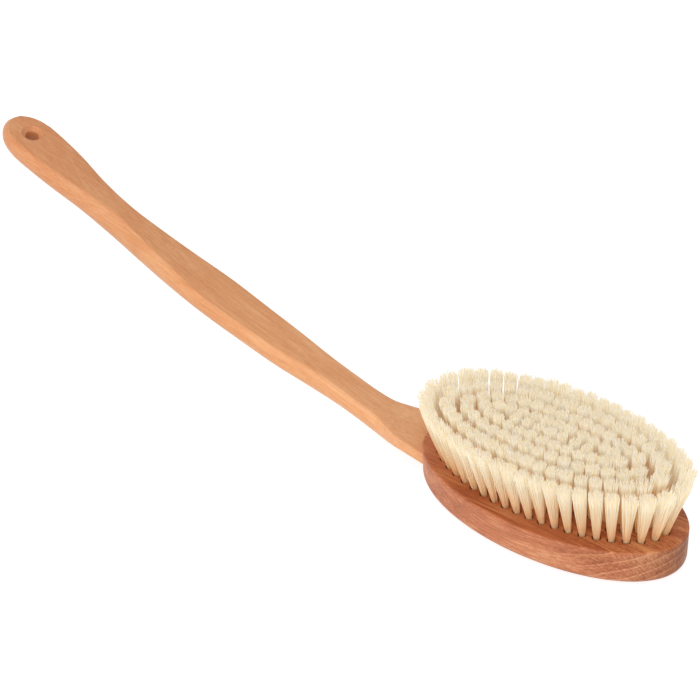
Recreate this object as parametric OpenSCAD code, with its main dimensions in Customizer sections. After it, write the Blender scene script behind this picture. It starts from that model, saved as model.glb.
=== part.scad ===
/* [Head] */
// Length of the oval head
head_len = 140; // [110:1:180]
// Width of the oval head
head_width = 71.2; // [58:0.2:90]
// Thickness of the head block
head_thick = 19; // [16:0.5:24]
// Rounding of the edge round the head's back
back_round = 5; // [2:0.5:6]
// Easing of the edge round the head's bristle face
rim_ease = 1; // [0.4:0.1:2]

/* [Bristles] */
// Distance from the head's rim to the outer row of tufts
rim_margin = 9.1; // [7:0.1:12]
// Distance between neighbouring tufts along a row
tuft_pitch = 6.4; // [5.5:0.1:8]
// Distance between rows at the two ends of the head
end_step = 8.2; // [7.4:0.1:9]
// Diameter of each tuft hole
hole_d = 4; // [3:0.1:4.4]
// Depth of each tuft hole
hole_depth = 4.6; // [4:0.1:6]
// Height of the bristles above the head
bristle_height = 29; // [15:1:40]
// Outward lean of the outer row, in degrees
outer_lean = 12.5; // [0:0.5:16]
// Clearance between neighbouring tufts at their tips
tuft_gap = 0.4; // [0.2:0.1:1]
// Clearance between a tuft and its hole
root_gap = 0.1; // [0.05:0.05:0.2]

/* [Anchors] */
// Height of the flat wire anchor across each tuft's fold
anchor_height = 1.6; // [1:0.1:2]
// Thickness of the flat wire anchor
anchor_thick = 0.4; // [0.3:0.05:0.6]
// Thickness of the bristle fold under the anchor
fold_thick = 0.9; // [0.6:0.1:1.2]
// Clearance round each anchor
anchor_gap = 0.05; // [0.03:0.01:0.1]

/* [Handle] */
// Plan length of the handle, from the head's end to its tip
handle_len = 305; // [220:1:400]
// Rise of the handle's middle line from its tongue to its tip
handle_rise = 97; // [40:1:130]
// Width of the neck beside the head
neck_width = 18.6; // [15:0.2:24]
// Thickness of the neck beside the head
neck_thick = 10.6; // [9:0.2:14]
// Width of the broad grip
grip_width = 27; // [22:0.2:36]
// Thickness of the broad grip
grip_thick = 11.3; // [9:0.1:16]
// Width of the narrow waist
waist_width = 18.4; // [15:0.2:24]
// Height of the narrow waist
waist_thick = 17.4; // [12:0.2:22]
// Width of the rounded end
end_width = 28.4; // [22:0.2:36]
// Thickness of the rounded end
end_thick = 12.6; // [8:0.2:15]
// Angle at which the rounded sides leave the flat faces, in degrees
side_angle = 45; // [25:1:60]
// Diameter of the hanging hole
hang_d = 7.5; // [5:0.5:9]
// Diameter of the hanging hole's countersinks
hang_sink_d = 12; // [9:0.5:14]
// Depth of the hanging hole's countersinks
hang_sink_depth = 1.8; // [0.5:0.1:3]
// Plan distance from the handle's tip to the hanging hole
hang_inset = 18; // [14:0.5:40]

/* [Joint] */
// Width of the handle's tongue
tongue_width = 27; // [20:0.5:30]
// Thickness of the handle's tongue
tongue_thick = 6.4; // [4:0.1:8]
// Length of the tongue inside the head
tongue_len = 26; // [15:1:32]
// Slope of the tongue down into the head, in degrees
tongue_slope = 10; // [6:0.5:12]
// Least wood between the tongue's slot and the outer row's tuft holes
slot_wall = 0.6; // [0.4:0.1:1.5]
// Clearance round the tongue in its slot
fit_gap = 0.15; // [0.1:0.05:0.3]
// Clearance past the tongue's end in its slot
end_gap = 0.5; // [0.3:0.1:1]

/* [Hidden] */
$fn = 64;

// Head
half_len = head_len / 2;
half_width = head_width / 2;
head_points = 96;
round_steps = 6;
rim_steps = 2;

// Rows of tufts: four ovals round one centre line
rows = 4;
row_step = (half_width - rim_margin) / rows;
closest_share = 0.86;
closest = closest_share * min(tuft_pitch, row_step);
root_r = hole_d / 2 - root_gap;
tip_r = (closest - tuft_gap) / 2;
root_len = hole_depth - root_gap;
hole_turn = 37;
oval_steps = 180;
step_angle = 360 / oval_steps;

// The outer row's hole nearest the handle: its lowest corner, measured in from the
// head's end and down from the bristle face, and the tongue's middle under it
corner_in = rim_margin + hole_depth * sin(outer_lean) - hole_d / 2 * cos(outer_lean);
corner_down = hole_depth * cos(outer_lean) + hole_d / 2 * sin(outer_lean);
slot_top = head_thick - corner_down - slot_wall + corner_in * tan(tongue_slope);
tongue_height = slot_top - (tongue_thick / 2 + fit_gap) / cos(tongue_slope);

// Handle: each station is its share of the plan length, its share of the rise,
// its thickness, its full width and how far its sides are rounded, from 0 to 1
stations = [
    [0.000, 0.000, tongue_thick, tongue_width, 0],
    [0.039, 0.021, tongue_thick + 0.8, tongue_width - 0.5, 0],
    [0.066, 0.021, neck_thick - 1.4, neck_width + 4.4, 0.4],
    [0.092, 0.026, neck_thick + 0.6, neck_width + 1.4, 0.9],
    [0.131, 0.053, neck_thick, neck_width, 1],
    [0.177, 0.092, neck_thick + 0.4, neck_width, 1],
    [0.229, 0.132, grip_thick + 0.8, neck_width + 1, 1],
    [0.308, 0.197, grip_thick + 0.4, grip_width - 3.4, 1],
    [0.386, 0.268, grip_thick, grip_width - 1.4, 1],
    [0.478, 0.356, grip_thick, grip_width, 1],
    [0.557, 0.431, (grip_thick + waist_thick) / 2 - 0.5, (grip_width + waist_width) / 2 + 1.5, 1],
    [0.629, 0.508, waist_thick - 1.8, waist_width + 2.8, 1],
    [0.708, 0.601, waist_thick, waist_width, 1],
    [0.780, 0.700, (waist_thick + end_thick) / 2, waist_width + 2.4, 1],
    [0.858, 0.812, end_thick + 0.8, end_width - 1.4, 1],
    [0.905, 0.876, end_thick, end_width + 0.6, 1],
    [1.000, 1.000, end_thick, end_width, 1]
];
last = len(stations) - 1;
slope_span = 0.01;
least_round = 0.02;
side_steps = 10;
handle_steps = 52;
end_steps = 8;
end_sweep = 88;
end_flat = 0.2;
end_r = end_width / 2;
hang_share = 1 - hang_inset / handle_len;
cut = 1;

// Smooth curve through four neighbouring values
function blend(a, b, c, d, t) =
    b + (c - a) * t / 2
    + (2 * a - 5 * b + 4 * c - d) * t * t / 2
    + (3 * b - a - 3 * c + d) * t * t * t / 2;

// The station before a share of the handle's length
function before(u, i = 0) = i >= last - 1 || u < stations[i + 1][0] ? i : before(u, i + 1);

// One column of the stations at any share of the handle's length
function at_share(u, column) =
    let (
        i = before(u),
        t = (u - stations[i][0]) / (stations[i + 1][0] - stations[i][0]),
        low = stations[max(i - 1, 0)][column],
        high = stations[min(i + 2, last)][column]
    )
    blend(low, stations[i][column], stations[i + 1][column], high, t);

// The handle's middle line in the plane of its bend
function middle(u) = [
    -half_len - u * handle_len,
    tongue_height + at_share(u, 1) * handle_rise
];

// Slope of the middle line, in degrees
function slope(u) =
    let (d = middle(min(u + slope_span, 1)) - middle(max(u - slope_span, 0)))
    atan2(d[1], -d[0]);

// How far a fully rounded side stands out past its flat faces
function side_bulge(thick) = thick / 2 * tan(side_angle / 2);

// Half the thickness of a bulged side, at a depth in from its outermost line
function side_height(depth, thick, bulge) =
    let (r = (thick * thick / 4 + bulge * bulge) / (2 * bulge))
    sqrt(max(2 * r * depth - depth * depth, 0));

// Outline of one section: flat above and below, with bulged sides
function section(half_w, thick, bulge) =
    let (
        flat = half_w - bulge,
        right = [
            for (i = [0 : side_steps])
                let (z = thick / 2 * cos(180 * i / side_steps))
                [flat + side_reach(z, thick, bulge), z]
        ]
    )
    concat([for (p = right) [-p[0], p[1]]], [for (i = [side_steps : -1 : 0]) right[i]]);

// How far a bulged side stands out at a height from its middle
function side_reach(z, thick, bulge) =
    let (r = (thick * thick / 4 + bulge * bulge) / (2 * bulge))
    sqrt(r * r - z * z) - (r - bulge);

// A section stood across the handle's middle line, at a point and a slope
function placed(points, at, tilt) = [
    for (p = points)
        [at[0] + p[1] * sin(tilt), p[0], at[1] + p[1] * cos(tilt)]
];

// Section at the tongue's inner end
tongue_ring = placed(
    section(tongue_width / 2, tongue_thick, least_round * side_bulge(tongue_thick)),
    [-half_len + tongue_len * cos(tongue_slope), tongue_height - tongue_len * sin(tongue_slope)],
    tongue_slope
);

// Sections of the handle up to the centre of its rounded end
function shaft_rings() = [
    for (i = [0 : handle_steps])
        let (
            u = i / handle_steps * (1 - end_r / handle_len),
            thick = at_share(u, 2),
            rounded = min(max(at_share(u, 4), least_round), 1)
        )
        placed(
            section(at_share(u, 3) / 2, thick, rounded * side_bulge(thick)),
            middle(u),
            i == 0 ? tongue_slope : slope(u)
        )
];

// Sections round the handle's end, where the flat faces and the sides close in
function end_rings() = [
    for (i = [1 : end_steps])
        let (
            reach = end_r * sin(end_sweep * i / end_steps),
            half_w = sqrt(end_r * end_r - reach * reach),
            bulge = side_bulge(end_thick),
            flat_r = end_r - bulge,
            flat = max(sqrt(max(flat_r * flat_r - reach * reach, 0)), half_w * end_flat),
            thick = reach < flat_r ? end_thick : 2 * side_height(end_r - reach, end_thick, bulge),
            u = 1 - (end_r - reach) / handle_len
        )
        placed(section(half_w, thick, half_w - flat), middle(u), slope(u))
];

// Closed solid through a list of sections with equal numbers of points
module skin(rings) {
    count = len(rings[0]);
    sides = [
        for (i = [0 : len(rings) - 2], j = [0 : count - 1])
            let (k = (j + 1) % count)
            [i * count + j, i * count + k, (i + 1) * count + k, (i + 1) * count + j]
    ];
    first = [for (j = [count - 1 : -1 : 0]) j];
    end = [for (j = [0 : count - 1]) (len(rings) - 1) * count + j];
    polyhedron([for (ring = rings) each ring], concat([first], sides, [end]), convexity = 6);
}

// Slot in the head's end, round the tongue and past its inner end
module tongue_slot() {
    width = tongue_width + 2 * fit_gap;
    thick = tongue_thick + 2 * fit_gap;
    translate([-half_len, 0, tongue_height])
        rotate([0, tongue_slope, 0])
            translate([-tongue_len, -width / 2, -thick / 2])
                cube([2 * tongue_len + end_gap, width, thick]);
}

// Moves what follows to the hanging hole, with +Z out of the handle's bristle side
module at_hang_hole() {
    spot = middle(hang_share);
    translate([spot[0], 0, spot[1]])
        rotate([0, slope(hang_share), 0])
            children();
}

// Length measured round an oval, against the angle reached
function arc_table(a, b) = [
    for (i = 0, s = 0; i <= oval_steps;
        s = s + norm([
            a * (cos((i + 1) * step_angle) - cos(i * step_angle)),
            b * (sin((i + 1) * step_angle) - sin(i * step_angle))
        ]), i = i + 1)
        [s, i * step_angle]
];

// Evenly spaced places round one oval row: x, y, outward direction and lean
function oval_row(row) =
    let (
        a = half_len - rim_margin - row * end_step,
        b = (rows - row) * row_step,
        table = arc_table(a, b),
        total = table[oval_steps][0],
        count = 2 * round(total / tuft_pitch / 2),
        lean = outer_lean * pow((rows - row) / rows, 2)
    )
    [
        for (i = [0 : count - 1])
            let (t = lookup(i / count * total, table))
            [a * cos(t), b * sin(t), atan2(a * sin(t), b * cos(t)), lean]
    ];

// Evenly spaced places along the centre line, kept clear of the innermost oval
function centre_row() =
    let (
        a = half_len - rim_margin - (rows - 1) * end_step,
        reach = a * sqrt(1 - pow(closest / row_step, 2)),
        count = 2 * floor(reach / tuft_pitch) + 1
    )
    [for (i = [0 : count - 1]) [(i - (count - 1) / 2) * tuft_pitch, 0, 90, 0]];

// Repeats a piece at every place of a row, with +Z along its hole
module at_places(places) {
    for (p = places)
        translate([p[0], p[1], head_thick])
            rotate([0, p[3], p[2]])
                children();
}

// Places of one row, the centre line being the last
function row_places(row) = row < rows ? oval_row(row) : centre_row();

// The head's oval outline at a height, drawn in square to its wall by an inset
function head_ring(inset, z) = [
    for (i = [0 : head_points - 1])
        let (
            t = -360 * i / head_points,
            normal = [cos(t) / half_len, sin(t) / half_width],
            unit = normal / norm(normal)
        )
        [half_len * cos(t) - inset * unit[0], half_width * sin(t) - inset * unit[1], z]
];

// Outlines up the head: rounded back edge, straight wall, eased rim. The first
// and last run straight on past the two flat faces
function head_rings() = concat(
    [head_ring(back_round, -cut)],
    [
        for (i = [0 : round_steps])
            let (t = 90 * i / round_steps)
            head_ring(back_round * (1 - sin(t)), back_round * (1 - cos(t)))
    ],
    [
        for (i = [0 : rim_steps])
            let (t = 90 * i / rim_steps)
            head_ring(rim_ease * (1 - cos(t)), head_thick - rim_ease * (1 - sin(t)))
    ],
    [head_ring(rim_ease, head_thick + cut)]
);

// Block as thick as the head, with its tuft holes and the slot for the tongue
module drilled_block() {
    difference() {
        translate([-half_len - cut, -half_width - cut, 0])
            cube([head_len + 2 * cut, head_width + 2 * cut, head_thick]);
        for (row = [0 : rows])
            at_places(row_places(row))
                translate([0, 0, -hole_depth])
                    rotate([0, 0, hole_turn])
                        cylinder(d = hole_d, h = hole_depth + cut);
        tongue_slot();
    }
}

module head_block() {
    color([0.66, 0.37, 0.22])
        intersection() {
            drilled_block();
            skin(head_rings());
        }
}

module handle() {
    color([0.84, 0.6, 0.42])
        difference() {
            skin(concat([tongue_ring], shaft_rings(), end_rings()));
            at_hang_hole() {
                cylinder(d = hang_d, h = 3 * end_thick, center = true);
                for (side = [0, 180])
                    rotate([side, 0, 0])
                        translate([0, 0, end_thick / 2 - hang_sink_depth])
                            cylinder(
                                d1 = hang_d,
                                d2 = hang_d + (hang_sink_d - hang_d) * (1 + cut / hang_sink_depth),
                                h = hang_sink_depth + cut
                            );
            }
        }
}

// One folded tuft, with a window for its anchor above the fold
module tuft() {
    difference() {
        union() {
            translate([0, 0, -root_len])
                cylinder(r = root_r, h = root_len);
            cylinder(r1 = root_r, r2 = tip_r, h = bristle_height / cos(outer_lean));
        }
        translate([0, 0, fold_thick - root_len + anchor_height / 2])
            cube([hole_d, anchor_thick + 2 * anchor_gap, anchor_height + 2 * anchor_gap], center = true);
    }
}

// One flat wire anchor, across its tuft
module anchor() {
    translate([0, 0, fold_thick - root_len + anchor_height / 2])
        cube([2 * root_r - 2 * anchor_gap, anchor_thick, anchor_height], center = true);
}

module tuft_row(row) {
    color([0.95, 0.88, 0.75])
        at_places(row_places(row))
            tuft();
}

module anchor_row(row) {
    color([0.78, 0.68, 0.4])
        at_places(row_places(row))
            anchor();
}

head_block();
handle();
tuft_row(0);  // tufts_row_1
tuft_row(1);  // tufts_row_2
tuft_row(2);  // tufts_row_3
tuft_row(3);  // tufts_row_4
tuft_row(4);  // tufts_centre
anchor_row(0);  // anchors_row_1
anchor_row(1);  // anchors_row_2
anchor_row(2);  // anchors_row_3
anchor_row(3);  // anchors_row_4
anchor_row(4);  // anchors_centre
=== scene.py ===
"""Looks of the body dry brush: oval wooden head, curved handle and bristle tufts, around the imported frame."""

import math

import bpy
import numpy as np
from mathutils import Matrix, Vector


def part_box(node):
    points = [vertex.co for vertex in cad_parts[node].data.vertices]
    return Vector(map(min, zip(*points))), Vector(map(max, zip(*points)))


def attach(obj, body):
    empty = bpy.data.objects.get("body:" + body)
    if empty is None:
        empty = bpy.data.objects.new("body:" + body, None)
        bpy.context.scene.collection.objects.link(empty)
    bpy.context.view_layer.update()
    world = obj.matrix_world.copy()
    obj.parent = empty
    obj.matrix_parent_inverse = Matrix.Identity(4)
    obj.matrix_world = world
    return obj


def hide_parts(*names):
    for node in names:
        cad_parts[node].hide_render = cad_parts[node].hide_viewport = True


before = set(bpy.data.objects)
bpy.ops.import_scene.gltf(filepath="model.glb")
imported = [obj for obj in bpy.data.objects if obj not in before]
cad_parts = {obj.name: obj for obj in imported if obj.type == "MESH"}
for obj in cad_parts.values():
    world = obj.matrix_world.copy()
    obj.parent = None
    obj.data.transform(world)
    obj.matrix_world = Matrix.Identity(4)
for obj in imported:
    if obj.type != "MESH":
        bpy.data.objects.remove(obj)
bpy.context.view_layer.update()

MM = 0.001
SEED = 7

# ---------------------------------------------------------------- sizes from the frame

HALF_LEN, HALF_WIDTH, HEAD_THICK = np.array(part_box("head_block")[1]) / MM
HANDLE_LEN = -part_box("handle")[0][0] / MM - HALF_LEN
TUFT_ROWS = ("tufts_row_1", "tufts_row_2", "tufts_row_3", "tufts_row_4", "tufts_centre")
ANCHOR_ROWS = tuple(name.replace("tufts", "anchors") for name in TUFT_ROWS)

# ---------------------------------------------------------------- sizes in millimetres

BACK_ROUND, RIM_EASE = 5.0, 1.0
HOLE_R, HOLE_DEPTH = 2.0, 4.6
HOLE_BREAK, HOLE_SIDES = 0.25, 24  # broken edge at each hole's mouth
SIDE_STEPS = (8.0, 12.0, 15.0)  # heights of the rings between the head's two rounded edges
ROOT_DEPTH = 4.5  # how far a tuft's CAD solid reaches down its hole

STRANDS, STRAND_SIDES, STRAND_RINGS = 110, 3, 5  # a tuft's strands, and the make of each
STRAND_TAPER = np.interp(np.linspace(0, 1, STRAND_RINGS), (0, 0.7, 1), (1.0, 0.95, 0.75))
ROOT_R = 1.2  # of a tuft's bundle where it leaves its hole
TRIM_HEIGHT = 29.2  # of the bristle tips above the head's face
OUTER_SPREAD, WIDEST = 3.7, 5.4  # of a tuft's tip, outward in the outer row and anywhere
SQUARENESS = 0.5  # of a tuft's tip seen from above, from round to square
ALONG_FILL, ACROSS_FILL = 0.93, 0.72  # share of the gap to its neighbours that a tuft's tip fills
INNER_SHADE = 3.8  # how fast the inner rows turn warmer below their tips: painted shade cast by their neighbours
INNER_GLOW = 0.32  # stands in for the light that scatters many times inside a bundle
LIGHT_THROUGH = 0.88  # share of the light that a bristle passes on to those behind it
STRAND_START = -2.0  # where the strands begin, below the head's face
STRAND_THICK = (0.17, 0.25)  # least and greatest radius
OPENING = 1.05  # how evenly a tuft widens from its root to its tip
STRAND_SCATTER = 0.05  # of the strands' tips, as a share of the tuft's spread
TUFT_SCATTER, BEND = 0.15, 0.16  # of the tufts' tips and of the strands' middles
TUFT_SIZE = (0.94, 1.04)  # least and greatest share of the spread that a tuft takes
TUFT_TRIM, TRIM_SCATTER = (-0.7, 0.4), 0.3  # uneven heights of the tufts and of their strands
STRAY_SHARE, STRAY_RISE = 0.012, (0.6, 1.8)  # the few strands that stand out above the rest

HANDLE_RISE = 97.0
NECK_W, NECK_T = 18.6, 10.6
GRIP_W, GRIP_T = 27.0, 11.3
WAIST_W, WAIST_T = 18.4, 17.4
END_W, END_T = 28.4, 12.6
TONGUE_W, TONGUE_T, TONGUE_LEN = 27.0, 6.4, 26.0
TONGUE_SLOPE, TONGUE_HEIGHT = math.radians(10), 11.51
SIDE_ANGLE = math.radians(45)
EDGE_SOFT, TONGUE_TAPER, LEAST_BULGE = 0.7, 0.8, 0.02
HANG_R, SINK_R, SINK_DEPTH, HANG_INSET = 3.75, 6.2, 1.9, 18.0
END_REACH = 18.5  # length of the handle's rounded end
SHAFT_STEPS, END_STEPS, BORE_SIDES = 170, 30, 64
HEAD_SHARP, HANDLE_SHARP = 35, 40  # degrees above which an edge stays sharp
FIT_GAP, END_GAP = 0.15, 0.5
SLOT_OUTSIDE = 20.0  # how far the slot's cutter reaches out of the head

# the handle from the head out: share of plan length, share of rise, thickness, width,
# how far the sides are rounded
STATIONS = np.array([
    (0.000, 0.000, TONGUE_T, TONGUE_W, 0),
    (0.039, 0.021, TONGUE_T + 0.8, TONGUE_W - 0.5, 0),
    (0.066, 0.021, NECK_T - 1.4, NECK_W + 4.4, 0.4),
    (0.092, 0.026, NECK_T + 0.6, NECK_W + 1.4, 0.9),
    (0.131, 0.053, NECK_T, NECK_W, 1),
    (0.177, 0.092, NECK_T + 0.4, NECK_W, 1),
    (0.229, 0.132, GRIP_T + 0.8, NECK_W + 1, 1),
    (0.308, 0.197, GRIP_T + 0.4, GRIP_W - 3.4, 1),
    (0.386, 0.268, GRIP_T, GRIP_W - 1.4, 1),
    (0.478, 0.356, GRIP_T, GRIP_W, 1),
    (0.557, 0.431, (GRIP_T + WAIST_T) / 2 - 0.5, (GRIP_W + WAIST_W) / 2 + 1.5, 1),
    (0.629, 0.508, WAIST_T - 1.8, WAIST_W + 2.8, 1),
    (0.708, 0.601, WAIST_T, WAIST_W, 1),
    (0.780, 0.700, (WAIST_T + END_T) / 2, WAIST_W + 2.4, 1),
    (0.858, 0.812, END_T + 0.8, END_W - 1.4, 1),
    (0.905, 0.876, END_T, END_W + 0.6, 1),
    (1.000, 1.000, END_T, END_W, 1),
])

# ---------------------------------------------------------------- mesh helpers


def new_object(name, points_mm, faces, material, sharp=35):
    """An object from points in millimetres, shaded smooth up to a sharp angle in degrees."""
    mesh = bpy.data.meshes.new(name)
    mesh.from_pydata([tuple(p) for p in np.asarray(points_mm) * MM], [], faces)
    mesh.update()
    obj = bpy.data.objects.new(name, mesh)
    bpy.context.scene.collection.objects.link(obj)
    if material:
        mesh.materials.append(material)
    smooth(obj, sharp)
    return obj


def smooth(obj, sharp):
    obj.data.shade_smooth()
    obj.data.set_sharp_from_angle(angle=math.radians(sharp))


def skin(rings):
    """Points and faces of the closed solid through rings of equal length."""
    count = len(rings[0])
    faces = []
    for i in range(len(rings) - 1):
        for j in range(count):
            k = (j + 1) % count
            faces.append((i * count + j, i * count + k, (i + 1) * count + k, (i + 1) * count + j))
    last = (len(rings) - 1) * count
    faces.append(tuple(range(count - 1, -1, -1)))
    faces.append(tuple(last + j for j in range(count)))
    return np.concatenate(rings), faces


def turned(profile, segments):
    """Points and faces of a closed solid of revolution about Z, from (radius, z) pairs."""
    angles = np.arange(segments) * 2 * math.pi / segments
    rings = [
        np.stack([r * np.cos(angles), r * np.sin(angles), np.full(segments, z)], 1)
        for r, z in profile
    ]
    return skin(rings)


def cut(obj, cutters, sharp):
    """Takes the cutters out of an object and removes them."""
    for cutter in cutters:
        mod = obj.modifiers.new("cut", "BOOLEAN")
        mod.operation = "DIFFERENCE"
        mod.solver = "EXACT"
        mod.object = cutter
    bpy.context.view_layer.update()
    graph = bpy.context.evaluated_depsgraph_get()
    mesh = bpy.data.meshes.new_from_object(obj.evaluated_get(graph), depsgraph=graph)
    obj.modifiers.clear()
    old = obj.data
    obj.data = mesh
    bpy.data.meshes.remove(old)
    for cutter in cutters:
        bpy.data.objects.remove(cutter)
    smooth(obj, sharp)


def frame_matrix(origin, z_axis):
    """Rotation and place that stand +Z along an axis at a point, in millimetres."""
    z = np.array(z_axis) / np.linalg.norm(z_axis)
    x = np.cross((0.0, 1.0, 0.0), z)
    x /= np.linalg.norm(x)
    return np.stack([x, np.cross(z, x), z], 1), np.array(origin)


def placed(points, origin, z_axis):
    turn, at = frame_matrix(origin, z_axis)
    return points @ turn.T + at


# ---------------------------------------------------------------- material helpers


class Nodes:
    """A material's nodes, with short ways to add and join them."""

    def __init__(self, name):
        self.material = bpy.data.materials.new(name)
        self.material.use_nodes = True
        self.tree = self.material.node_tree
        self.tree.nodes.clear()
        self.out = self.add("ShaderNodeOutputMaterial")

    def add(self, kind, inputs=None, **settings):
        node = self.tree.nodes.new(kind)
        for key, value in settings.items():
            setattr(node, key, value)
        for key, value in (inputs or {}).items():
            self.set(node.inputs[key], value)
        return node

    def set(self, socket, value):
        if isinstance(value, bpy.types.NodeSocket):
            self.tree.links.new(value, socket)
        else:
            socket.default_value = value

    def math(self, operation, a, b=0.0, clamp=False):
        node = self.add("ShaderNodeMath", {0: a, 1: b}, operation=operation)
        node.use_clamp = clamp
        return node.outputs[0]

    def noise(self, vector, scale, detail=3.0, roughness=0.5):
        node = self.add("ShaderNodeTexNoise", {
            "Vector": vector, "Scale": scale, "Detail": detail, "Roughness": roughness,
        })
        return node.outputs["Fac"]

    def ramp(self, fac, stops):
        node = self.add("ShaderNodeValToRGB", {"Fac": fac})
        ramp = node.color_ramp
        while len(ramp.elements) < len(stops):
            ramp.elements.new(0.5)
        for element, (position, colour) in zip(ramp.elements, stops):
            element.position = position
            element.color = (*colour, 1.0) if len(colour) == 3 else colour
        return node.outputs["Color"]

    def mix(self, fac, a, b, blend="MIX"):
        node = self.add("ShaderNodeMix", data_type="RGBA", blend_type=blend)
        for socket, value in (("Factor_Float", fac), ("A_Color", a), ("B_Color", b)):
            found = next(s for s in node.inputs if s.identifier == socket)
            self.set(found, (*value, 1.0) if isinstance(value, tuple) and len(value) == 3 else value)
        return next(s for s in node.outputs if s.identifier == "Result_Color")

    def scaled(self, value, middle, amount):
        """A value's distance from its middle, times an amount."""
        return self.math("MULTIPLY", self.math("SUBTRACT", value, middle), amount)

    def stretched(self, vector, scales):
        node = self.add("ShaderNodeVectorMath", {0: vector, 1: scales}, operation="MULTIPLY")
        return node.outputs[0]


def linear(r, g, b):
    """A colour given as it looks on screen, from 0 to 255, in the linear values that shaders take."""
    return tuple(
        c / 255 / 12.92 if c <= 10 else ((c / 255 + 0.055) / 1.055) ** 2.4 for c in (r, g, b)
    )


# share of a growth ring's width, and how pale the wood is there
RING_PROFILE = ((0.0, 0.3), (0.5, 0.42), (0.8, 0.5), (0.93, 1.0), (1.0, 0.3))
TINT_LENGTH = 0.4  # metres along which a wood's tint is given
# share of that length from the head's centre, and the handle's tint there: darker toward its end
DARKER_TOWARD_END = (
    (0.27, (1.0, 1.0, 0.98)), (0.45, (0.95, 0.9, 0.83)),
    (0.68, (0.87, 0.81, 0.75)), (0.9, (0.85, 0.75, 0.68)),
)


def growth_rings(n, where, parts, rings):
    """Ring lines and the cross ticks between them, shown more and more along X."""
    drift = n.noise(n.stretched(where, (14.0, 60.0, 60.0)), 1.0, 2.0)
    dy = n.math("SUBTRACT", parts.outputs["Y"], rings["centre"][0])
    dz = n.math("SUBTRACT", parts.outputs["Z"], rings["centre"][1])
    radius = n.math("SQRT", n.math("ADD", n.math("MULTIPLY", dy, dy), n.math("MULTIPLY", dz, dz)))
    radius = n.math("ADD", radius, n.scaled(drift, 0.5, rings["drift"]))
    share = n.math("FRACT", n.math("DIVIDE", radius, rings["step"]))
    line = n.ramp(share, [(at, (value,) * 3) for at, value in RING_PROFILE])

    turn = n.math("MULTIPLY", n.math("ARCTAN2", dy, dz), 0.04)
    polar = n.add("ShaderNodeCombineXYZ", {0: parts.outputs["X"], 1: turn, 2: radius}).outputs[0]
    ray = n.noise(n.stretched(polar, (500.0, 1500.0, 260.0)), 1.0, 2.0)
    show = n.add("ShaderNodeMapRange", {
        "Value": parts.outputs["X"], "From Min": rings["from"], "From Max": rings["to"],
        "To Min": rings["least"], "To Max": rings["most"],
    }, interpolation_type="SMOOTHSTEP").outputs[0]
    return n.math("MULTIPLY", n.math("ADD", n.scaled(line, 0.34, 0.75), n.scaled(ray, 0.5, 0.9)), show)


def tinted(n, colour, parts, tints):
    """The colour darkened on faces that look toward +X, partly end grain and partly painted shade, with painted
    shade on faces that look up, and darkened along the piece.
    """
    facing = n.add("ShaderNodeSeparateXYZ", {0: n.add("ShaderNodeNewGeometry").outputs["Normal"]})
    if "end" in tints:
        # darker end grain on the +X end only, together with painted shade on that end
        end = n.math("POWER", n.math("MAXIMUM", facing.outputs["X"], 0.0), 2.0)
        colour = n.mix(end, colour, tints["end"], "MULTIPLY")
    if "face" in tints:
        # painted shade: faces that look up turn darker and warmer, for the bristles' shade and warm bounce
        # light on the head's face
        face = n.math("MAXIMUM", facing.outputs["Z"], 0.0)
        colour = n.mix(face, colour, tints["face"], "MULTIPLY")
    if "along" in tints:
        along = n.ramp(n.math("DIVIDE", parts.outputs["X"], -TINT_LENGTH), tints["along"])
        colour = n.mix(1.0, colour, along, "MULTIPLY")
    return colour


def wood(name, colours, rings, tints, tilt=0.0, streak=1.0, fleck=0.3, mottle=0.5, rough=0.5):
    """Sawn and oiled wood with its grain along X: growth rings round a far centre, fibres and pores."""
    dark, base, pale = colours
    n = Nodes(name)
    where = n.add("ShaderNodeTexCoord").outputs["Object"]
    turned_place = n.add("ShaderNodeVectorRotate", {"Vector": where, "Angle": tilt}, rotation_type="Y_AXIS")
    where = turned_place.outputs[0]
    parts = n.add("ShaderNodeSeparateXYZ", {0: where})

    fibre = n.noise(n.stretched(where, (35.0, 1300.0, 1300.0)), 1.0, 4.0, 0.65)
    cloud = n.noise(n.stretched(where, (30.0, 110.0, 110.0)), 1.0, 3.0, 0.55)
    pores = n.noise(n.stretched(where, (420.0, 3000.0, 3000.0)), 1.0, 2.0)
    pore = n.ramp(pores, [(0.57, (0.0,) * 3), (0.72, (1.0,) * 3)])

    tone = n.math("ADD", n.scaled(fibre, 0.5, streak), n.scaled(cloud, 0.5, mottle))
    tone = n.math("ADD", tone, growth_rings(n, where, parts, rings))
    colour = n.ramp(n.math("ADD", tone, 0.5), [(0.1, dark), (0.5, base), (0.92, pale)])
    colour = n.mix(n.math("MULTIPLY", pore, fleck), colour, tuple(c * 0.62 for c in dark))
    colour = tinted(n, colour, parts, tints)
    height = n.math("SUBTRACT", n.math("MULTIPLY", fibre, 0.6), n.math("MULTIPLY", pore, 0.8))
    bump = n.add("ShaderNodeBump", {"Height": height, "Distance": 0.00006, "Strength": 0.5})
    shader = n.add("ShaderNodeBsdfPrincipled", {
        "Base Color": colour, "Roughness": n.math("ADD", n.scaled(fibre, 0.5, 0.14), rough),
        "Specular IOR Level": 0.3, "Normal": bump.outputs[0],
    })
    n.set(n.out.inputs["Surface"], shader.outputs[0])
    return n.material


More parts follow.
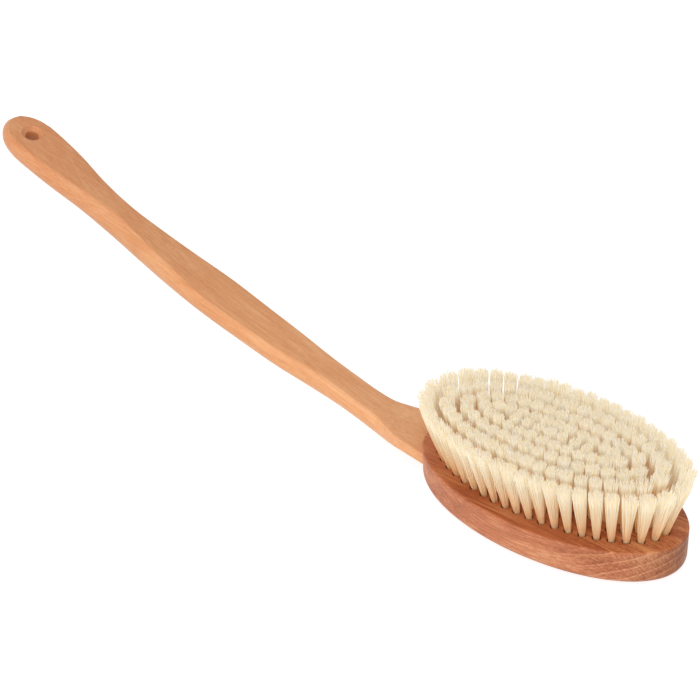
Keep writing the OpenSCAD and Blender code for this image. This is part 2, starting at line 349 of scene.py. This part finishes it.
def bristle_material():
    """Cream natural bristle that lets light through, each strand a little different; yellower toward its root
    as painted warm shade deep in the bundle, with a painted glow for the light that scatters inside it.
    """
    n = Nodes("natural_bristle")
    tint = n.add("ShaderNodeAttribute", attribute_name="tint").outputs["Fac"]
    along = n.add("ShaderNodeAttribute", attribute_name="along").outputs["Fac"]
    tip = n.ramp(tint, [
        (0.0, linear(250, 226, 184)), (0.5, linear(255, 244, 218)), (1.0, linear(255, 252, 242)),
    ])
    # painted shade: toward the root the strands turn darker and warmer, for the shade and warm bounce light
    # deep between the tufts
    root = n.ramp(tint, [(0.0, linear(228, 154, 78)), (1.0, linear(250, 204, 138))])
    where = n.ramp(along, [(0.0, (0.0,) * 3), (0.8, (1.0,) * 3)])
    colour = n.mix(where, root, tip)
    solid = n.add("ShaderNodeBsdfPrincipled", {
        "Base Color": colour, "Roughness": 0.42, "Specular IOR Level": 0.5,
        "Sheen Weight": 0.5, "Sheen Roughness": 0.5, "Sheen Tint": (*linear(255, 240, 214), 1.0),
        "Emission Color": colour, "Emission Strength": INNER_GLOW,
    })
    through = n.add("ShaderNodeBsdfTranslucent", {"Color": colour})
    both = n.add("ShaderNodeMixShader", {0: 0.3, 1: solid.outputs[0], 2: through.outputs[0]})
    path = n.add("ShaderNodeLightPath")
    passing = n.math("MAXIMUM", path.outputs["Is Shadow Ray"], path.outputs["Is Diffuse Ray"])
    clear = n.add("ShaderNodeBsdfTransparent", {"Color": (1.0, 0.97, 0.9, 1.0)})
    lit = n.add("ShaderNodeMixShader", {
        0: n.math("MULTIPLY", passing, LIGHT_THROUGH), 1: both.outputs[0], 2: clear.outputs[0],
    })
    n.set(n.out.inputs["Surface"], lit.outputs[0])
    return n.material


def wire_material():
    """Drawn flat wire, lightly scratched along its length."""
    n = Nodes("anchor_wire")
    where = n.add("ShaderNodeTexCoord").outputs["Object"]
    scratch = n.noise(n.stretched(where, (900.0, 900.0, 6000.0)), 1.0, 2.0, 0.55)
    colour = n.ramp(scratch, [(0.3, linear(150, 128, 78)), (0.7, linear(214, 194, 138))])
    shine = n.math("MULTIPLY_ADD", scratch, 0.3)
    n.set(shine.node.inputs[2], 0.2)
    bump = n.add("ShaderNodeBump", {"Height": scratch, "Distance": 0.00002, "Strength": 0.4})
    shader = n.add("ShaderNodeBsdfPrincipled", {
        "Base Color": colour, "Metallic": 1.0, "Roughness": shine, "Normal": bump.outputs[0],
    })
    n.set(n.out.inputs["Surface"], shader.outputs[0])
    return n.material


# ---------------------------------------------------------------- tufts and their places


def islands(node):
    """Points of each separate solid of a CAD node, in millimetres."""
    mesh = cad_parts[node].data
    points = np.array([v.co for v in mesh.vertices]) / MM
    keys = np.round(points * 50).astype(int)
    _, joined = np.unique(keys, axis=0, return_inverse=True)
    joined = joined.ravel()
    parent = list(range(joined.max() + 1))

    def find(a):
        while parent[a] != a:
            parent[a] = parent[parent[a]]
            a = parent[a]
        return a

    for edge in mesh.edges:
        a, b = (find(joined[v]) for v in edge.vertices)
        parent[a] = b
    groups = {}
    for index, key in enumerate(joined):
        groups.setdefault(find(key), []).append(index)
    return [np.unique(np.round(points[g], 3), axis=0) for g in groups.values()]


def tuft_axis(points):
    """Where a tuft's axis crosses the head's face, its direction, and its length above the face."""
    low = points[points[:, 2] < points[:, 2].min() + 1.0]
    high = points[points[:, 2] > points[:, 2].max() - 2.0]
    root = (low.min(0) + low.max(0)) / 2
    tip = (high.min(0) + high.max(0)) / 2
    length = np.linalg.norm(tip - root)
    way = (tip - root) / length
    return root + way * ROOT_DEPTH, way, length - ROOT_DEPTH


def tuft_places(node):
    places = [tuft_axis(points) for points in islands(node)]
    return sorted(places, key=lambda place: math.atan2(place[0][1], place[0][0]))


def half_gaps(own, others):
    """Half the way from each tip to the nearest of the others, up to the widest spread."""
    nearest = np.linalg.norm(own[:, None] - others[None], axis=2).min(1)
    return np.minimum(nearest / 2, WIDEST)


def tip_spreads(rows):
    """How far each tuft opens at its tip: along its row, inward and outward, in millimetres."""
    tips = [np.array([origin + way * length for origin, way, length in places]) for places in rows]
    spreads = []
    for row, own in enumerate(tips):
        gaps = np.linalg.norm(own - np.roll(own, -1, axis=0), axis=1)
        if row == len(tips) - 1:  # the centre line is no ring, so each tuft looks to its nearest
            gaps = np.sort(np.linalg.norm(own[:, None] - own[None], axis=2), axis=1)[:, 1]
        along = np.minimum((gaps + np.roll(gaps, 1)) / 4, WIDEST) * ALONG_FILL
        inner = tips[row + 1] if row + 1 < len(tips) else tips[row - 1]
        inward = half_gaps(own, inner) * ACROSS_FILL
        outward = half_gaps(own, tips[row - 1]) * ACROSS_FILL if row else np.full(len(own), OUTER_SPREAD)
        spreads.append(np.stack([along, inward, outward], 1))
    return spreads


def tuft_strands(place, spread, rng):
    """Middle lines, radii and tints of one tuft's strands, in millimetres."""
    origin, way, _ = place
    outward = np.array([origin[0] / HALF_LEN ** 2, origin[1] / HALF_WIDTH ** 2, 0.0])
    if np.linalg.norm(outward[:2]) < 1e-6:
        outward = np.array([0.0, 1.0, 0.0])
    row_way = np.cross(way, outward)
    row_way /= np.linalg.norm(row_way)
    across = np.cross(row_way, way)
    reach = np.sqrt((np.arange(STRANDS) + 0.5) / STRANDS)
    angle = np.arange(STRANDS) * math.pi * (3 - math.sqrt(5)) + rng.uniform(0, 6.28)
    disc = np.stack([reach * np.cos(angle), reach * np.sin(angle)], 1)
    squared = 1 + SQUARENESS * (1 / np.maximum(np.abs(np.cos(angle)), np.abs(np.sin(angle))) - 1)
    tip = disc * squared[:, None] + rng.normal(0, STRAND_SCATTER, disc.shape)
    tip[:, 0] *= spread[0]
    tip[:, 1] *= np.where(tip[:, 1] > 0, spread[2], spread[1])
    tip *= rng.uniform(*TUFT_SIZE)
    tip += rng.normal(0, TUFT_SCATTER, 2)
    trim = TRIM_HEIGHT + rng.normal(0, TRIM_SCATTER, STRANDS) + rng.uniform(*TUFT_TRIM)
    stray = rng.random(STRANDS) < STRAY_SHARE
    trim[stray] += rng.uniform(*STRAY_RISE, stray.sum())
    side_rise = tip @ np.array([row_way[2], across[2]])
    top = (trim - side_rise) / way[2]
    bend = rng.normal(0, BEND, (STRANDS, 2))
    lines = np.zeros((STRANDS, STRAND_RINGS, 3))
    for i, t in enumerate(np.linspace(0, 1, STRAND_RINGS)):
        height = STRAND_START + (top - STRAND_START) * t
        opened = t ** OPENING
        flat = disc * ROOT_R * (1 - opened) + tip * opened + bend * math.sin(math.pi * t)
        lines[:, i] = origin + height[:, None] * way + flat[:, :1] * row_way + flat[:, 1:] * across
    radii = rng.uniform(*STRAND_THICK, STRANDS)
    tints = rng.beta(2.0, 2.0, STRANDS)
    return lines, radii, tints


def strand_mesh(name, lines, radii, tints, shade, material):
    """One mesh of thin three-sided strands along their middle lines, in millimetres.

    Each point carries its strand's tint and how far along the strand it is, bent by the row's painted shade.
    """
    count, rings = lines.shape[:2]
    ways = np.gradient(lines, axis=1)
    ways /= np.linalg.norm(ways, axis=2, keepdims=True)
    side = np.cross(ways, (0.0, 1.0, 0.3))
    side /= np.linalg.norm(side, axis=2, keepdims=True)
    other = np.cross(ways, side)
    angles = np.arange(STRAND_SIDES) * 2 * math.pi / STRAND_SIDES
    thick = (radii[:, None] * STRAND_TAPER)[:, :, None, None]
    points = lines[:, :, None] + thick * (
        side[:, :, None] * np.cos(angles)[:, None] + other[:, :, None] * np.sin(angles)[:, None]
    )
    base = np.arange(count)[:, None, None] * rings * STRAND_SIDES
    ring = np.arange(rings - 1)[None, :, None] * STRAND_SIDES
    j = np.arange(STRAND_SIDES)[None, None, :]
    k = (j + 1) % STRAND_SIDES
    low = base + ring
    high = low + STRAND_SIDES
    quads = np.stack(np.broadcast_arrays(low + j, low + k, high + k, high + j), -1).reshape(-1, 4)
    starts = (base[:, 0, 0])[:, None]
    foot = starts + np.arange(STRAND_SIDES)[::-1]
    head = starts + (rings - 1) * STRAND_SIDES + np.arange(STRAND_SIDES)
    faces = quads.tolist() + foot.tolist() + head.tolist()
    mesh = bpy.data.meshes.new(name)
    mesh.from_pydata((points.reshape(-1, 3) * MM).tolist(), [], faces)
    mesh.update()
    mesh.materials.append(material)
    tint = mesh.attributes.new("tint", "FLOAT", "POINT")
    tint.data.foreach_set("value", np.repeat(tints, rings * STRAND_SIDES).astype(np.float32))
    along = mesh.attributes.new("along", "FLOAT", "POINT")
    steps = np.repeat(np.linspace(0, 1, rings) ** shade, STRAND_SIDES)
    along.data.foreach_set("value", np.tile(steps, count).astype(np.float32))
    mesh.shade_smooth()
    obj = bpy.data.objects.new(name, mesh)
    bpy.context.scene.collection.objects.link(obj)
    return obj


def make_tufts(material):
    rng = np.random.default_rng(SEED)
    rows = [tuft_places(node) for node in TUFT_ROWS]
    for row, (node, places, spreads) in enumerate(zip(TUFT_ROWS, rows, tip_spreads(rows))):
        made = [tuft_strands(place, spread, rng) for place, spread in zip(places, spreads)]
        lines, radii, tints = (np.concatenate(part) for part in zip(*made))
        # inner rows get more painted shade below their tips, where their neighbours shade them
        shade = INNER_SHADE if row else 1.0
        tufts = strand_mesh(node.replace("tufts", "bristles"), lines, radii, tints, shade, material)
        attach(tufts, "head")
        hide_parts(node)


# ---------------------------------------------------------------- head


def head_ring(inset, z, count=240):
    t = np.arange(count) * 2 * math.pi / count
    normal = np.stack([np.cos(t) / HALF_LEN, np.sin(t) / HALF_WIDTH], 1)
    normal /= np.linalg.norm(normal, axis=1, keepdims=True)
    flat = np.stack([HALF_LEN * np.cos(t), HALF_WIDTH * np.sin(t)], 1) - inset * normal
    return np.concatenate([flat, np.full((count, 1), z)], 1)


def head_rings():
    """Rings from the back's rounded edge up the side and over the eased rim."""
    rings = [head_ring(BACK_ROUND + 1.5, 0.0)]
    for t in np.linspace(0, math.pi / 2, 12):
        rings.append(head_ring(BACK_ROUND * (1 - math.sin(t)), BACK_ROUND * (1 - math.cos(t))))
    rings += [head_ring(0.0, z) for z in SIDE_STEPS]
    for t in np.linspace(0, math.pi / 2, 6):
        rings.append(head_ring(RIM_EASE * (1 - math.cos(t)), HEAD_THICK - RIM_EASE * (1 - math.sin(t))))
    rings.append(head_ring(RIM_EASE + 0.7, HEAD_THICK))
    return rings


def make_drills():
    """One object of all the tuft holes, each with a broken edge at its mouth."""
    mouth = HOLE_R + HOLE_BREAK
    hole, hole_faces = turned(
        [(HOLE_R, -HOLE_DEPTH), (HOLE_R, -HOLE_BREAK), (mouth, 0.05), (mouth, 1.5)], HOLE_SIDES
    )
    points, faces = [], []
    for node in TUFT_ROWS:
        for origin, way, _ in tuft_places(node):
            start = len(points) * len(hole)
            points.append(placed(hole, origin, way))
            faces += [tuple(start + v for v in face) for face in hole_faces]
    return new_object("drills", np.concatenate(points), faces, None)


def tongue_bar(name, width, thick, inside, outside):
    """Straight bar along the tongue's slope, through the head's end wall."""
    corners = np.array([
        (x, y, z)
        for x in (-outside, inside) for y in (-width / 2, width / 2) for z in (-thick / 2, thick / 2)
    ])
    c, s = math.cos(TONGUE_SLOPE), math.sin(TONGUE_SLOPE)
    points = corners @ np.array([(c, 0, s), (0, 1, 0), (-s, 0, c)]).T + (-HALF_LEN, 0, TONGUE_HEIGHT)
    faces = [(0, 1, 3, 2), (4, 6, 7, 5), (0, 4, 5, 1), (2, 3, 7, 6), (0, 2, 6, 4), (1, 5, 7, 3)]
    return new_object(name, points, faces, None)


def make_head(material):
    head = new_object("head_wood", *skin(head_rings()), material)
    slot = tongue_bar(
        "slot", TONGUE_W + 2 * FIT_GAP, TONGUE_T + 2 * FIT_GAP, TONGUE_LEN + END_GAP, SLOT_OUTSIDE
    )
    cut(head, [make_drills(), slot], HEAD_SHARP)
    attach(head, "head")
    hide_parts("head_block")


# ---------------------------------------------------------------- handle


def at_share(u, column):
    """One column of the stations at a share of the handle's length, on a smooth curve."""
    shares = STATIONS[:, 0]
    i = int(min(np.searchsorted(shares, u, side="right") - 1, len(shares) - 2))
    step = shares[i + 1] - shares[i]
    t = (u - shares[i]) / step
    values = STATIONS[:, column]
    steepness = np.gradient(values, shares)
    return (
        (2 * t ** 3 - 3 * t ** 2 + 1) * values[i] + (3 * t ** 2 - 2 * t ** 3) * values[i + 1]
        + ((t ** 3 - 2 * t ** 2 + t) * steepness[i] + (t ** 3 - t ** 2) * steepness[i + 1]) * step
    )


def middle(u):
    return np.array([-HALF_LEN - u * HANDLE_LEN, TONGUE_HEIGHT + at_share(u, 1) * HANDLE_RISE])


def slope(u):
    d = middle(min(u + 0.01, 1)) - middle(max(u - 0.01, 0))
    return math.atan2(d[1], -d[0])


def side_bulge(thick):
    return thick / 2 * math.tan(SIDE_ANGLE / 2)


def side_reach(z, thick, bulge):
    r = (thick * thick / 4 + bulge * bulge) / (2 * bulge)
    return math.sqrt(r * r - z * z) - (r - bulge)


def side_height(depth, thick, bulge):
    r = (thick * thick / 4 + bulge * bulge) / (2 * bulge)
    return math.sqrt(max(2 * r * depth - depth * depth, 0))


def section(half_w, thick, bulge):
    """Outline of the handle across its length: flat faces, softened edges and bulged sides."""
    bulge = max(bulge, LEAST_BULGE)
    flat = half_w - bulge
    soft = min(EDGE_SOFT, flat * 0.4, thick * 0.12)
    corner = np.array([flat, thick / 2])
    start = np.array([flat - soft, thick / 2])
    drop = thick / 2 - soft * 0.9
    end = np.array([flat + side_reach(drop, thick, bulge), drop])
    half = [(0.0, thick / 2), ((flat - soft) * 0.5, thick / 2)]
    for t in np.linspace(0, 1, 6):
        half.append((1 - t) ** 2 * start + 2 * t * (1 - t) * corner + t * t * end)
    for angle in np.linspace(0, math.pi / 2, 7)[1:]:
        z = drop * math.cos(angle)
        half.append((flat + side_reach(z, thick, bulge), z))
    half = np.array(half)
    right = np.concatenate([half, half[-2::-1] * (1, -1)])
    left = right[-2:0:-1] * (-1, 1)
    return np.concatenate([right, left])[::-1]


def stood(outline, at, tilt):
    return np.stack([
        at[0] + outline[:, 1] * math.sin(tilt), outline[:, 0], at[1] + outline[:, 1] * math.cos(tilt),
    ], 1)


def tongue_rings():
    """The tongue's slightly tapered inner end."""
    inner = np.array([
        -HALF_LEN + TONGUE_LEN * math.cos(TONGUE_SLOPE), TONGUE_HEIGHT - TONGUE_LEN * math.sin(TONGUE_SLOPE),
    ])
    near = inner + (-1.0, math.tan(TONGUE_SLOPE))
    tapered = section(TONGUE_W / 2 - TONGUE_TAPER, TONGUE_T - 1.5 * TONGUE_TAPER, LEAST_BULGE)
    full = section(TONGUE_W / 2, TONGUE_T, LEAST_BULGE)
    return [stood(tapered, inner, TONGUE_SLOPE), stood(full, near, TONGUE_SLOPE)]


def shaft_rings():
    rings = []
    for u in np.linspace(0, 1 - END_REACH / HANDLE_LEN, SHAFT_STEPS):
        thick = at_share(u, 2)
        rounded = min(max(at_share(u, 4), 0), 1)
        tilt = TONGUE_SLOPE if u == 0 else slope(u)
        rings.append(stood(section(at_share(u, 3) / 2, thick, rounded * side_bulge(thick)), middle(u), tilt))
    return rings


def end_rings():
    """The handle's rounded end, half an ellipse seen from above."""
    end_r, bulge = END_W / 2, side_bulge(END_T)
    flat_r = end_r - bulge
    rings = []
    for reach in end_r * np.sin(np.radians(np.linspace(0, 89, END_STEPS)[1:])):
        half_w = math.sqrt(end_r ** 2 - reach ** 2)
        flat = max(math.sqrt(max(flat_r ** 2 - reach ** 2, 0)), half_w * 0.2)
        thick = END_T if reach < flat_r else 2 * side_height(end_r - reach, END_T, bulge)
        u = 1 - (end_r - reach) / end_r * END_REACH / HANDLE_LEN
        rings.append(stood(section(half_w, thick, half_w - flat), middle(u), slope(u)))
    return rings


def make_bore():
    """The hanging hole with a dished sink on both faces."""
    hang = 1 - HANG_INSET / HANDLE_LEN
    face = at_share(hang, 2) / 2
    sink = [(HANG_R, face - SINK_DEPTH - 0.5), (HANG_R + 0.15, face - SINK_DEPTH)]
    for t in np.linspace(0, 1, 7)[1:]:
        sink.append((HANG_R + (SINK_R - HANG_R) * t, face - SINK_DEPTH * (1 - t ** 1.6)))
    sink += [(SINK_R + 0.5, face + 0.6), (SINK_R + 0.5, face + 6.0)]
    points, faces = turned([(r, -z) for r, z in sink[::-1]] + sink, BORE_SIDES)
    (x, z), tilt = middle(hang), slope(hang)
    return new_object("bore", placed(points, (x, 0, z), (math.sin(tilt), 0, math.cos(tilt))), faces, None)


def make_handle(material):
    rings = tongue_rings() + shaft_rings() + end_rings()
    handle = new_object("handle_wood", *skin(rings), material)
    cut(handle, [make_bore()], HANDLE_SHARP)
    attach(handle, "handle")
    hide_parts("handle")


# ---------------------------------------------------------------- stage, light and camera


LIT_PLACE, LAMP_SIZE = (-0.15, 0.0, 0.03), 1.2
FLOOR_SIZE, FLOOR_DROP = 4000.0, 0.3


def make_floor():
    """A pale floor that looks white to the camera and still takes the object's shadow."""
    n = Nodes("pale_floor")
    path = n.add("ShaderNodeLightPath")
    seen = n.math("MAXIMUM", path.outputs["Is Glossy Ray"], path.outputs["Is Transmission Ray"])
    seen = n.math("MAXIMUM", path.outputs["Is Camera Ray"], seen)
    plain = n.add("ShaderNodeBsdfDiffuse", {"Color": (0.8, 0.8, 0.8, 1.0)})
    faint = n.add("ShaderNodeBsdfDiffuse", {"Color": (0.4, 0.4, 0.4, 1.0)})
    glow = n.add("ShaderNodeEmission", {"Color": (1.0, 1.0, 1.0, 1.0), "Strength": 0.8})
    white = n.add("ShaderNodeAddShader", {0: faint.outputs[0], 1: glow.outputs[0]})
    mixed = n.add("ShaderNodeMixShader", {0: seen, 1: plain.outputs[0], 2: white.outputs[0]})
    n.set(n.out.inputs["Surface"], mixed.outputs[0])
    corners = [(x * FLOOR_SIZE, y * FLOOR_SIZE, -FLOOR_DROP) for x, y in ((-1, -1), (1, -1), (1, 1), (-1, 1))]
    new_object("floor", np.array(corners), [(0, 1, 2, 3)], n.material)


def make_world():
    world = bpy.data.worlds.new("studio")
    bpy.context.scene.world = world
    world.use_nodes = True
    tree = world.node_tree
    tree.nodes.clear()
    out = tree.nodes.new("ShaderNodeOutputWorld")
    mixed = tree.nodes.new("ShaderNodeMixShader")
    path = tree.nodes.new("ShaderNodeLightPath")
    soft = tree.nodes.new("ShaderNodeBackground")
    soft.inputs["Color"].default_value = (0.98, 0.99, 1.0, 1.0)
    way = tree.nodes.new("ShaderNodeTexCoord")
    parts = tree.nodes.new("ShaderNodeSeparateXYZ")
    sky = tree.nodes.new("ShaderNodeMapRange")
    for socket, value in (("From Min", 0.0), ("From Max", 1.0), ("To Min", 0.95), ("To Max", 0.34)):
        sky.inputs[socket].default_value = value
    tree.links.new(way.outputs["Generated"], parts.inputs[0])
    tree.links.new(parts.outputs["Z"], sky.inputs["Value"])
    tree.links.new(sky.outputs[0], soft.inputs["Strength"])
    white = tree.nodes.new("ShaderNodeBackground")
    white.inputs["Color"].default_value = (1.0, 1.0, 1.0, 1.0)
    white.inputs["Strength"].default_value = 1.0
    seen = path.outputs["Is Camera Ray"]
    for other in ("Is Glossy Ray", "Is Transmission Ray"):
        either = tree.nodes.new("ShaderNodeMath")
        either.operation = "MAXIMUM"
        tree.links.new(seen, either.inputs[0])
        tree.links.new(path.outputs[other], either.inputs[1])
        seen = either.outputs[0]
    tree.links.new(seen, mixed.inputs[0])
    tree.links.new(soft.outputs[0], mixed.inputs[1])
    tree.links.new(white.outputs[0], mixed.inputs[2])
    tree.links.new(mixed.outputs[0], out.inputs["Surface"])


def make_lamp(name, place, power, colour=(1.0, 1.0, 1.0)):
    """A round soft lamp, in metres and watts, turned to the middle of the brush."""
    lamp = bpy.data.lights.new(name, "AREA")
    lamp.shape = "DISK"
    lamp.size = LAMP_SIZE
    lamp.energy = power
    lamp.color = colour
    obj = bpy.data.objects.new(name, lamp)
    bpy.context.scene.collection.objects.link(obj)
    obj.location = place
    obj.rotation_euler = (Vector(LIT_PLACE) - Vector(place)).to_track_quat("-Z", "Y").to_euler()


def make_camera():
    """The camera at the photograph's angle: 43 degrees round from the front and 34 degrees up."""
    around, up_angle, roll = math.radians(42.78), math.radians(33.59), math.radians(-4.44)
    distance, pan_right, pan_up = 663.3, -94.3, 76.9
    right = Vector((math.cos(around), math.sin(around), 0.0))
    level = Vector((math.sin(around), -math.cos(around), 0.0))
    back = level * math.cos(up_angle) + Vector((0.0, 0.0, math.sin(up_angle)))
    up = back.cross(right)
    x_axis = math.cos(roll) * right + math.sin(roll) * up
    y_axis = -math.sin(roll) * right + math.cos(roll) * up
    place = (back * distance + x_axis * pan_right + y_axis * pan_up) * MM
    camera = bpy.data.cameras.new("camera")
    camera.sensor_width = 36.0
    camera.lens = 72.0
    camera.clip_start, camera.clip_end = 0.01, 50.0
    obj = bpy.data.objects.new("camera", camera)
    bpy.context.scene.collection.objects.link(obj)
    obj.matrix_world = Matrix.Translation(place) @ Matrix((x_axis, y_axis, back)).transposed().to_4x4()
    bpy.context.scene.camera = obj


# ---------------------------------------------------------------- the scene

make_camera()
make_world()
make_floor()
make_lamp("key", (-0.1, -1.8, 0.6), 14.0, (1.0, 0.99, 0.97))
make_lamp("side", (1.1, -1.5, 0.5), 5.0)
make_lamp("top", (0.0, -0.3, 1.6), 7.0)

head_wood = wood(
    "oiled_head_wood",
    (linear(136, 74, 44), linear(188, 115, 78), linear(224, 164, 122)),
    {
        "centre": (-0.002, -0.017), "step": 0.0043, "drift": 0.004,
        "from": 0.02, "to": 0.055, "least": 0.12, "most": 0.9,
    },
    # end: darker end grain with painted shade on the +X end; face: painted shade under the bristles
    {"end": (0.62, 0.54, 0.46), "face": (0.97, 0.8, 0.62)},
    streak=1.0, fleck=0.55, mottle=1.0, rough=0.5,
)
handle_wood = wood(
    "light_handle_wood",
    (linear(198, 128, 80), linear(224, 160, 112), linear(242, 196, 152)),
    {
        "centre": (0.02, -0.09), "step": 0.004, "drift": 0.004,
        "from": -0.4, "to": -0.1, "least": 0.12, "most": 0.12,
    },
    {"along": DARKER_TOWARD_END},
    tilt=math.radians(-17), streak=0.9, fleck=0.3, mottle=0.4, rough=0.4,
)
make_head(head_wood)
make_handle(handle_wood)
make_tufts(bristle_material())
wire = wire_material()
for name in ANCHOR_ROWS:
    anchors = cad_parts[name]
    for slot in anchors.material_slots:
        slot.material = wire

bpy.context.scene.view_settings.view_transform = "Standard"
